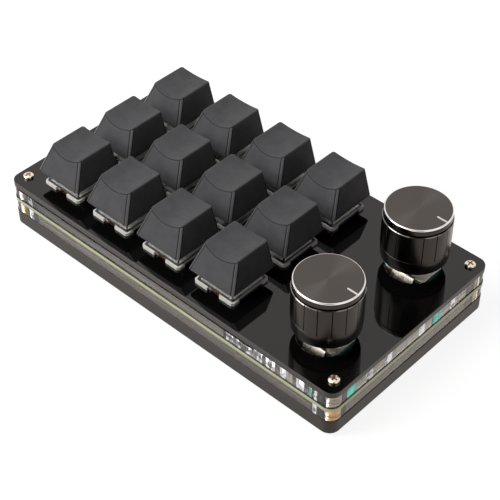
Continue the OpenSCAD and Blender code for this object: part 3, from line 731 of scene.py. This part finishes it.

# %% [markdown]
# ## The keycaps
# Each cap is a blank black shell with a fine matt texture. Its front slopes back a lot, its top is dished
# from side to side, and its rims are softly rounded. Sculpting could give that, but stacking one rounded
# outline that shrinks level by level keeps all twelve alike.
# Its corners are rubbed and shine a little, beside thin bands of painted shade, which also line the
# front of the rim. These are finishes on rows of faces.

# %% Finishes and sizes of the caps
CAP_GRAIN, CAP_SWING, CAP_RELIEF = 0.00028, 0.55, 0.00003
cap_finishes = [
    moulded(name, colour, roughness, CAP_GRAIN, CAP_SWING, CAP_RELIEF, Specular_IOR_Level=shine)
    for name, colour, roughness, shine in (
        ("matt cap plastic", tone(83, 82, 84), 0.5, 0.12),
        ("rubbed cap corner", tone(83, 82, 84), 0.33, 0.75),
        ("painted shade on the cap", tone(44, 43, 45), 0.6, 0.1),
    )
]
SIDE, RUBBED, PAINTED_SHADE = 0, 1, 2
CAP_HALF, CAP_TOP_HALF, CAP_FRONT, CAP_BACK = 8.95, 6.45, 4.3, 8.6
CAP_CORNER, CAP_TOP_CORNER, CAP_LEAST_CORNER, CAP_RISE = 1.1, 0.9, 0.25, 8.9
CAP_LIFT, CAP_WALL, CAP_RIM, CAP_SKIRT = 5.3, 1.2, 0.32, 0.18
DISH_FRONT, DISH_BACK = 1.7, 0.5
FRONT_SLOPE, BACK_SLOPE = (CAP_HALF - CAP_FRONT) / CAP_RISE, (CAP_HALF - CAP_BACK) / CAP_RISE
CORNER_STEPS, SIDE_STEPS, WALL_STEPS, RIM_STEPS = 8, 16, 6, 4
SOCKET_R, SOCKET_LIFT, SOCKET_DOWN, STEM_ARM, STEM_THICK = 2.7, 6.49, 2.85, 4.1, 1.3
print("cap finishes ready:", len(cap_finishes))


# %% Build the caps
def cap_ring(x, y, low, rim, t, inset, dished=1):
    """One level of the cap, an outline that sinks with the dish, deeper at the front."""
    half, front, back = (blend(CAP_HALF, top, t) - inset for top in (CAP_TOP_HALF, CAP_FRONT, CAP_BACK))
    radius = max(blend(CAP_CORNER, CAP_TOP_CORNER, t) - inset, CAP_LEAST_CORNER)
    ring = []
    for px, py in rounded_box(-half, -front, half, back, radius, CORNER_STEPS, SIDE_STEPS):
        share = (py + front) / (front + back)
        depth = dished * t * blend(DISH_FRONT, DISH_BACK, share) * (1 - (px / half) ** 2)
        slope = blend(FRONT_SLOPE, -BACK_SLOPE, share)
        ring.append((x + px, y + py - depth * slope, blend(low, rim, t) - depth))
    return ring


def cap_shape(x, y, low, rim):
    """The shell of a cap; its corners and the front of its rim have marks of their own."""
    shape = Shape()
    height = rim - low
    levels = [(0.0, CAP_SKIRT), (CAP_SKIRT * 0.3 / height, CAP_SKIRT * 0.3), (CAP_SKIRT / height, 0.0)]
    levels += [(n / WALL_STEPS, 0.0) for n in range(1, WALL_STEPS)]
    rim_start = len(levels)
    for i in range(RIM_STEPS + 1):
        a = radians(90 * i / RIM_STEPS)
        levels.append((1 - CAP_RIM * (1 - sin(a)) / height, CAP_RIM * (1 - cos(a))))
    outer = [cap_ring(x, y, low, rim, *level) for level in levels]
    top, count = outer[-1], len(outer[-1])
    # The dark bands beside each rubbed corner, and along the front of the rim, are painted shade.
    corner, side = [PAINTED_SHADE] * 2 + [RUBBED] * (CORNER_STEPS - 4) + [PAINTED_SHADE] * 2, [SIDE] * SIDE_STEPS
    front = 2 * CORNER_STEPS + SIDE_STEPS
    shape.rings(outer[:rim_start + 1], (corner + side + corner + [SIDE]) * 2)
    shape.rings(outer[rim_start:rim_start + 3], [PAINTED_SHADE] * front + [SIDE] * (count - front))
    shape.rings(outer[rim_start + 2:])
    shape.add(top, [[i, i + 1, count - 2 - i, count - 1 - i] for i in range(count // 2 - 1)])
    ceiling = (height - DISH_FRONT - CAP_WALL) / height
    inner = [cap_ring(x, y, low, rim, t, CAP_WALL, dished=0) for t in (0.0, ceiling)]
    shape.rings([outer[0]] + inner)
    shape.cap([inner[1]])
    return shape


for k, (x, y) in KEY_XY.items():
    rim_z = KEY_BOX[k][1][2]
    shape = cap_shape(x, y, DECK + CAP_LIFT, rim_z)
    shape.slab(circle(x, y, SOCKET_R, 36), [cross(x, y, STEM_ARM, STEM_THICK)],
               DECK + SOCKET_LIFT, rim_z - SOCKET_DOWN, edges=0)
    shape.build(f"cap_{k}", f"key_{k}", cap_finishes, 50, slot="cap_plastic", replaces=f"keycap_{k}")
print("caps:", len(KEYS), "with", len(shape.faces), "faces each")

# %% [markdown]
# ## The knobs
# Each knob is turned from aluminium, fluted, and anodised black. Then the lathe cuts the bevel round the
# top once more, which leaves a bright ring. A lathe form is rings of points: the profile gives each
# ring's radius and level, and a point that lies in a flute is pulled inwards.


# %% Finishes: anodised, spun and bright-cut aluminium
def lathed(name, colour, roughness, pitch, swing, depth=0.0, axis=None):
    """Aluminium with lathe lines: level ones, or rings round the axis of a spun face."""
    spin = {"Anisotropic": 0.8, "Anisotropic_Rotation": 0.25} if axis else {}
    material, tree, shader, place = finish(name, colour, roughness, Metallic=1.0, **spin)
    along = add(tree, "SeparateXYZ", {0: place}).outputs[2]
    if axis:
        flat = stretched(tree, place, (1.0, 1.0, 0.0), (-axis[0] * MM, -axis[1] * MM, 0.0))
        along = add(tree, "VectorMath", {0: flat}, operation="LENGTH").outputs["Value"]
        tangent = add(tree, "Tangent", direction_type="RADIAL", axis="Z")
        fill(tree, shader, {"Tangent": tangent.outputs[0]})
    lines = use(tree, lathe_rings, {"Along": along, "Pitch": pitch, "Tone Swing": swing})
    toned(tree, shader, colour, lines["Tone"])
    if depth:
        bump(tree, shader, lines["Height"], depth)
    return material


knob_side = lathed("anodised knob side", tone(60, 57, 55), 0.24, 0.00012, 0.5, 0.000002)
bevel_finish = lathed("bright cut bevel", tone(236, 236, 240), 0.1, 0.00004, 0.3)
# The round top edge of the body and the round lower edge of the collar get lighter metal: a painted glint.
rim_glint_finish = lathed("rim with painted glint", tone(128, 124, 121), 0.15, 0.00004, 0.3)
index_finish = moulded("white filling", tone(240, 240, 238), 0.5, 0.0002, 0.1, 0.0)
print("knob finishes ready")

# %% Sizes and profile of the knobs
ANODISED, SPUN, BRIGHT, GLINT_RIM = 0, 1, 2, 3
KNOB_R, FOOT_R, COLLAR_R, NECK_R, KNOB_BORE = 10.3, 10.1, 10.0, 9.4, 8.6
BORE_H, COLLAR_H, NECK_H, GROOVE_UP = 14, 2.1, 0.5, 4.5
FOOT_ROUND, FOOT_CURVE, BODY_ROUND, COLLAR_ROUND, FLUTE_UP = 0.25, 0.07, 0.2, 0.1, 0.03
TOP_DOWN, TOP_EDGE, TOP_IN = 0.02, 0.37, 0.42
GROOVE = ((0.0, 0.6), (0.0, 0.14), (0.06, 0.08), (0.0, 0.0))
BEVEL = ((0.0, 0.4), (0.03, 0.27), (0.11, 0.15), (0.23, 0.06))
FLUTES, FLUTE_DEPTH, FLUTE_HALF, FLUTE_START = 16, 0.24, radians(0.8), radians(2.1)
LINE_X0, LINE_X1, LINE_Y0, LINE_Y1, LINE_ROUND, LINE_DEPTH = 6.1, 9.62, 0.12, 0.72, 0.28, 0.1


def knob_profile(low_z, top_z):
    """The knob from its bore to its top: (radius, level, flute depth, mark of the next band)."""
    collar_z = top_z - COLLAR_H
    body_z, groove_z = collar_z - NECK_H, low_z + GROOVE_UP
    foot = [(KNOB_BORE, low_z + BORE_H), (KNOB_BORE, low_z), (FOOT_R - FOOT_ROUND, low_z),
            (FOOT_R - FOOT_CURVE, low_z + FOOT_CURVE), (FOOT_R, low_z + FOOT_ROUND)]
    foot += [(KNOB_R - back, groove_z - down) for back, down in GROOVE]
    return [(radius, z, 0, ANODISED) for radius, z in foot] + [
        (KNOB_R, groove_z + FLUTE_UP, FLUTE_DEPTH, ANODISED),
        (KNOB_R, body_z - BODY_ROUND, FLUTE_DEPTH, GLINT_RIM),
        (KNOB_R - BODY_ROUND, body_z, FLUTE_DEPTH, ANODISED),
        (NECK_R, body_z, 0, ANODISED), (NECK_R, collar_z, 0, ANODISED),
        (COLLAR_R - COLLAR_ROUND, collar_z, 0, GLINT_RIM), (COLLAR_R, collar_z + COLLAR_ROUND, 0, ANODISED),
    ] + [(COLLAR_R - back, top_z - down, 0, BRIGHT) for back, down in BEVEL] + [
        (COLLAR_R - TOP_EDGE, top_z - TOP_DOWN, 0, SPUN), (COLLAR_R - TOP_IN, top_z - TOP_DOWN, 0, SPUN),
    ]


def knob_ring(x, y, radius, z, depth):
    """One ring of the knob, pulled in by the depth at the bottom of each flute."""
    gap = 2 * pi / FLUTES - 2 * FLUTE_HALF
    places = [(-FLUTE_HALF, radius), (0.0, radius - depth), (FLUTE_HALF, radius)]
    places += [(FLUTE_HALF + gap * i / 8, radius) for i in range(1, 8)]
    ring = []
    for n in range(FLUTES):
        bottom = FLUTE_START + 2 * pi * n / FLUTES
        ring += [(x + r * cos(bottom + a), y + r * sin(bottom + a), z) for a, r in places]
    return ring


print("knob profile ready, with", FLUTES, "flutes")

# %% Build the knobs
for side, (x, y) in KNOB_XY.items():
    low_z, top_z = KNOB_BOX[side][0][2], KNOB_BOX[side][1][2]
    spun = lathed(f"spun top {side}", tone(88, 84, 81), 0.33, 0.00009, 0.5, 0.000002, (x, y))
    profile = knob_profile(low_z, top_z)
    loops = [knob_ring(x, y, radius, z, depth) for radius, z, depth, mark in profile]
    knob = Shape()
    for n in range(len(loops) - 1):
        knob.rings(loops[n:n + 2], profile[n][3])
    knob.cap([loops[-1]], SPUN)
    knob.build(f"turned_knob_{side}", f"dial_{side}", [knob_side, spun, bevel_finish, rim_glint_finish], 30,
               slot="black_aluminium", replaces=f"knob_{side}")
    line = Shape()
    line.slab(rounded_box(x + LINE_X0, y + LINE_Y0, x + LINE_X1, y + LINE_Y1, LINE_ROUND, 4), [],
              top_z - LINE_DEPTH, top_z, edges=0)
    line.build(f"index_line_{side}", f"dial_{side}", [index_finish])
print("knobs:", len(KNOB_XY), "with", len(knob.faces), "faces each")

# %% [markdown]
# ## Finishes for the CAD pieces that stay
# The switch housings, stems, contacts, encoders, socket, chips and feet have the right shapes already.
# They only need finishes.

# %% Finishes: milky, clear and coloured plastics
milky = moulded("milky nylon", tone(250, 248, 240), 0.3, 0.0008, 0.1, Subsurface_Weight=0.1,
                Subsurface_Radius=(0.001, 0.001, 0.0009))
housing = moulded("clear housing", (0.9, 0.92, 0.92, 1), 0.08, 0.0006, 0.1,
                  IOR=1.58, Transmission_Weight=1.0)
stem_finish = moulded("stem plastic", tone(96, 40, 30), 0.35)
teal = moulded("teal plastic", tone(24, 240, 214), 0.4, 0.0005, 0.2)
hub_plastic_and_painted_shade = moulded("hub plastic and painted shade", tone(40, 40, 40), 0.5)
plunger_finish = moulded("plunger plastic", tone(225, 222, 214), 0.4)
chip_finish = moulded("chip resin", tone(38, 38, 40), 0.6, 0.0002, 0.3)
rubber = moulded("rubber", tone(36, 36, 36), 0.8, 0.0003, 0.3, 0.00003)
print("moulded finishes ready")


# %% Finishes: bare and plated metals
def plated(name, colour, roughness, size=0.0012, swing=0.15):
    """Plated metal: cloudy in tone, and brighter or duller from patch to patch."""
    material = moulded(name, colour, roughness, size, swing, 0.000004, Metallic=1.0)
    smudged(*parts_of(material), 0.002, roughness * 0.6, roughness * 1.5)
    return material


def standoff_brass():
    """Turned brass with a thread, tarnished grey above the board and golden below it."""
    material, tree, shader, place = finish("threaded brass", tone(200, 170, 120), 0.3, Metallic=1.0)
    height = add(tree, "SeparateXYZ", {0: place}).outputs[2]
    shade = ranged(tree, height, bo_low[2] * MM, bo_high[2] * MM)
    lines = use(tree, lathe_rings, {"Along": height, "Pitch": 0.0004, "Tone Swing": 1.4})
    toned(tree, shader, mixed(tree, shade, tone(206, 160, 92), tone(150, 134, 120)), lines["Tone"])
    bump(tree, shader, lines["Height"], 0.0001)
    return material


nickel = plated("dull nickel sheet", tone(240, 232, 218), 0.42)
# A darker copy of the cover's nickel for its lug: painted shade.
shaded_nickel = plated("nickel sheet with painted shade", tone(200, 190, 178), 0.4)
plate_nickel = plated("rough nickel plate", tone(240, 236, 230), 0.7)
screw_metal = plated("nickel screw", tone(236, 226, 212), 0.2)
# The recess of each screw head is darker and browner: painted shade.
recess = plated("recess with painted shade", tone(168, 138, 116), 0.45, 0.0003, 0.8)
copper = plated("copper leaf", tone(236, 168, 140), 0.4)
socket_metal = plated("plated socket shell", tone(222, 222, 220), 0.18)
shaft_metal = plated("turned shaft", tone(214, 213, 210), 0.22)
brass = standoff_brass()
print("metal finishes ready")

# %% [markdown]
# ## Screws and encoder covers
# Two small parts are in plain sight and need more than their CAD form. The pan heads get a recess with
# sloping walls, darkened with painted shade. The encoder covers are folded from sheet, so their edges are
# round, and each has a second lug beside its leg. The lug, the plate's edges and thin dark plates beside
# each cover carry painted shade.

# %% Build the screws
HEAD_R, HEAD_H, HEAD_WALL, DOME_R, SHANK_R, SHANK_LENGTH = 1.65, 1.2, 0.35, 1.75, 1.0, 5.5
DOME_RINGS = (HEAD_R, 1.58, 1.45, 1.3, 1.12)
MOUTH_ARM, MOUTH_WIDTH, FLOOR_ARM, FLOOR_WIDTH, RECESS_Z = 2.1, 0.56, 1.5, 0.32, 0.86


def dome_z(radius):
    """The level of the head's dome at a distance from its middle."""
    return HEAD_WALL + (HEAD_H - HEAD_WALL) * sqrt(1 - (radius / DOME_R) ** 2)


def screw_shape():
    """One screw standing on level 0: a domed head, a cross recess and a plain shank."""
    shape = Shape()
    head = turned([(HEAD_R, 0.0)] + [(r, dome_z(r)) for r in DOME_RINGS], 0, 0, 32)
    shape.rings(head)
    mouth = [(px, py, dome_z(hypot(px, py))) for px, py in cross(0, 0, MOUTH_ARM, MOUTH_WIDTH)]
    floor_cross = at_level(cross(0, 0, FLOOR_ARM, FLOOR_WIDTH), RECESS_Z)
    shape.cap([head[-1], mouth])
    shape.rings([mouth, floor_cross], 1)
    shape.cap([floor_cross], 1)
    shank = turned([(HEAD_R, 0.0), (SHANK_R, 0.0), (SHANK_R, -SHANK_LENGTH)], 0, 0, 32)
    shape.rings(shank)
    shape.cap([shank[-1]])
    return shape


one_screw, screws = screw_shape(), Shape()
for x, y in SCREWS:
    screws.stamp(one_screw, x, y, DECK)
    screws.stamp(one_screw, x, y, box_mm("case_screws")[0][2] + HEAD_H, -1)
screws.build("pan_screws", "case", [screw_metal, recess], 40, slot="screw_steel", replaces="case_screws")
print("screws:", 2 * len(SCREWS), "with", len(one_screw.faces), "faces each")

# %% Build the encoder covers
BRIGHT_LEG, SHADED_LUG, DARK_EDGE, ROUGH_PLATE = 0, 1, 2, 3
COVER_X, COVER_Y, COVER_T, COVER_UP, COVER_CHAMFER, COVER_HOLE_R = 7.45, 5.3, 0.4, 0.2, 0.02, 8.4
BUSH_R, BUSH_BORE, BUSH_H, BUSH_ROUND = 3.5, 3.05, 5.0, 0.2
LEG, LUG = (-3.15, 4.3, 6.9), (-5.9, -3.3, 5.9)
FOLD, FOLD_BACK, LEAN = 0.5, 0.6, radians(60)
SHADE_PLATES = ((3.2, 4.3, 0.6), (4.3, 6.9, 0.22))
SIDE_FRONT, SIDE_BACK, SIDE_FOOT, SIDE_CHAMFER = -5.15, -4.92, 0.2, 0.03
cover_z, board_top = DECK + COVER_UP, bo_high[2]


def folded_leg(shape, x, y, leg, turn, mark):
    """A leg, given by its two sides and its reach, that leans out below its fold; turn is 1 or -1."""
    left, right, far = leg
    start = COVER_Y - COVER_T
    angles = [LEAN * i / 4 for i in range(5)]
    arc = [(start + FOLD * sin(a), cover_z - FOLD + FOLD * cos(a)) for a in angles]
    kink = arc[-1][1] - (far - arc[-1][0]) * tan(LEAN)
    outer = [(start - FOLD_BACK, cover_z)] + arc + [(far, kink), (far, board_top)]
    inner = [(far - COVER_T, board_top), (far - COVER_T, kink - COVER_T * 0.3),
             (start, cover_z - COVER_T * 1.3), (start - FOLD_BACK, cover_z - COVER_T)]
    ends = [[(x + turn * px, y - turn * reach, z) for reach, z in outer + inner] for px in (left, right)]
    shape.rings(ends, mark)
    for end in ends:
        shape.cap([end], mark)


def cover_outline(x, y):
    """The cover's plate, which keeps inside the round hole of the deck."""
    reach = sqrt(COVER_HOLE_R ** 2 - COVER_X ** 2)
    round_x = sqrt(COVER_HOLE_R ** 2 - (COVER_Y - COVER_T) ** 2)
    points = []
    for sx, sy in rectangle(-1, -1, 1, 1):
        pair = [(x + sx * COVER_X, y + sy * reach), (x + sx * round_x, y + sy * (COVER_Y - COVER_T))]
        points += pair if sx * sy > 0 else pair[::-1]
    return points


for side, (x, y) in KNOB_XY.items():
    cover, shade_plates = Shape(), Shape()
    # The plate's cut edges take the dark hub plastic: painted shade on the nickel.
    cover.slab(cover_outline(x, y), [circle(x, y, BUSH_R)], cover_z - COVER_T, cover_z, COVER_CHAMFER,
               ROUGH_PLATE, DARK_EDGE)
    bush_z = cover_z + BUSH_H
    bush = [(BUSH_R, cover_z - COVER_T), (BUSH_R, bush_z - BUSH_ROUND), (BUSH_R - BUSH_ROUND, bush_z),
            (BUSH_BORE, bush_z), (BUSH_BORE, cover_z - COVER_T)]
    cover.rings(turned(bush, x, y), closed=True)
    for turn in (1, -1):
        folded_leg(cover, x, y, LEG, turn, BRIGHT_LEG)
        folded_leg(cover, x, y, LUG, turn, SHADED_LUG)
        # Thin dark plates beside each cover fill the gap by the leg: painted shade.
        for left, right, down in SHADE_PLATES:
            corners = rectangle(left, SIDE_FRONT, right, SIDE_BACK)
            shade_plates.slab([(x + turn * px, y + turn * py) for px, py in corners], [],
                             board_top + SIDE_FOOT, DECK - down, SIDE_CHAMFER, edges=0)
    cover.build(f"folded_cover_{side}", "case", [nickel, shaded_nickel, hub_plastic_and_painted_shade, plate_nickel], 40,
                slot="nickel", replaces=f"encoder_cover_{side}")
    shade_plates.build(f"encoder_painted_shade_{side}", "case", [hub_plastic_and_painted_shade])
print("encoder covers:", len(KNOB_XY), "with", len(cover.faces), "faces each")

# %% [markdown]
# ## Hand over the finishes
# A CAD piece keeps its mesh and its slots. Only the material in each slot changes.

# %% Give the finishes to the CAD nodes
by_start = {
    "switch_bases": milky, "switch_tops": housing, "switch_contacts": copper, "case_standoffs": brass,
    "cable_socket": socket_metal, "board_chips": chip_finish, "rubber_feet": rubber, "stem_": stem_finish,
    "hub_": hub_plastic_and_painted_shade, "shaft_": shaft_metal, "plunger_": plunger_finish, "encoder_base_": teal,
}
finished = [(name, node) for name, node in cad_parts.items() if name.startswith(tuple(by_start))]
for name, node in finished:
    for slot in node.material_slots:
        slot.material = next(material for start, material in by_start.items() if name.startswith(start))
print("finished nodes:", len(finished))

# %% [markdown]
# ## The table
# The keypad stands on a seamless white table. To the camera and in reflections it glows nearly white, as
# in the cut-out photograph. To soft light it is a grey, so that it doesn't flood the keypad from below.


# %% Table
TABLE_HALF, TABLE_Z = 3.0, -0.00001


def table_white():
    """A grey that the camera, mirrors and glass see as white, warmer in mirrors."""
    material = moulded("white table", (0.22, 0.22, 0.22, 1), 0.7, 0.003, 0.02, 0.0)
    tree, shader, place = parts_of(material)
    rays = add(tree, "LightPath").outputs
    seen = calc(tree, "MAXIMUM", rays["Is Camera Ray"], rays["Is Glossy Ray"])
    seen = calc(tree, "MAXIMUM", seen, rays["Is Transmission Ray"])
    hue = mixed(tree, rays["Is Glossy Ray"], (1, 1, 1, 1), (1.0, 0.94, 0.88, 1))
    fill(tree, shader, {"Emission Color": hue, "Emission Strength": calc(tree, "MULTIPLY", seen, 0.88)})
    return material


table_mesh = bpy.data.meshes.new("table")
table_corners = at_level(rectangle(-TABLE_HALF, -TABLE_HALF, TABLE_HALF, TABLE_HALF), TABLE_Z)
table_mesh.from_pydata(table_corners, [], [[0, 1, 2, 3]])
table_mesh.materials.append(table_white())
floor = put("table", table_mesh)
print("table:", 2 * TABLE_HALF, "m wide")

# %% [markdown]
# ## World and lamp
# Much of the keypad's look is reflection: the black deck and the knobs show the white room, and the dark
# gaps between its softboxes. So the world is white for mirrors and for the camera, with a few soft gaps,
# and far dimmer as a light. One softbox at the front left lights the caps and the spun tops.


# %% World
# Each gap: degrees round from the camera, degrees over the table, cosine of its edge, depth.
GAPS = ((0, 47, 0.92, 0.9), (0, 8, 0.95, 0.6), (-100, 40, 0.93, 0.6), (82, 31, 0.975, 0.6),
        (115, 14, 0.98, 0.6))
SOFT_LIGHT, WHITE, WARM = 0.13, (1, 1, 1, 1), (1.0, 0.965, 0.925, 1.0)


def studio_gaps(tree):
    """A factor of 1 that drops in the gaps between the softboxes."""
    seen = add(tree, "TexCoord").outputs["Generated"]
    factor = 1.0
    for around, above, cosine, depth in GAPS:
        toward = direction(round_angle + radians(around), radians(above))
        near = add(tree, "VectorMath", {0: seen, 1: toward}, operation="DOT_PRODUCT").outputs["Value"]
        dim = ranged(tree, near, cosine, 1 - (1 - cosine) / 3, 1.0, 1.0 - depth, "SMOOTHSTEP")
        factor = calc(tree, "MULTIPLY", factor, dim)
    return factor


world = bpy.data.worlds.new("studio")
bpy.context.scene.world = world
world.use_nodes = True
sky = world.node_tree
sky.nodes.clear()
rays = add(sky, "LightPath").outputs
lit = ranged(sky, rays["Is Glossy Ray"], to_min=SOFT_LIGHT, to_max=studio_gaps(sky))
plain = calc(sky, "MAXIMUM", rays["Is Camera Ray"], rays["Is Transmission Ray"])
strength = ranged(sky, plain, to_min=lit)
hue = mixed(sky, rays["Is Glossy Ray"], WHITE, WARM)
background = add(sky, "Background", {"Color": hue, "Strength": strength})
add(sky, "OutputWorld", {"Surface": background.outputs[0]})
print("world ready, with", len(GAPS), "gaps")

# %% Lamp
lamp_data = bpy.data.lights.new("front left softbox", "AREA")
lamp_data.shape = "RECTANGLE"
lamp_data.size = 0.34
lamp_data.size_y = 0.6
lamp_data.energy = 4.0
lamp = put("front left softbox", lamp_data)
lamp.location = (-0.26, -0.33, 0.48)
lamp.rotation_euler = (-lamp.location).to_track_quat("-Z", "Y").to_euler()
print("lamp ready:", lamp_data.energy, "W")
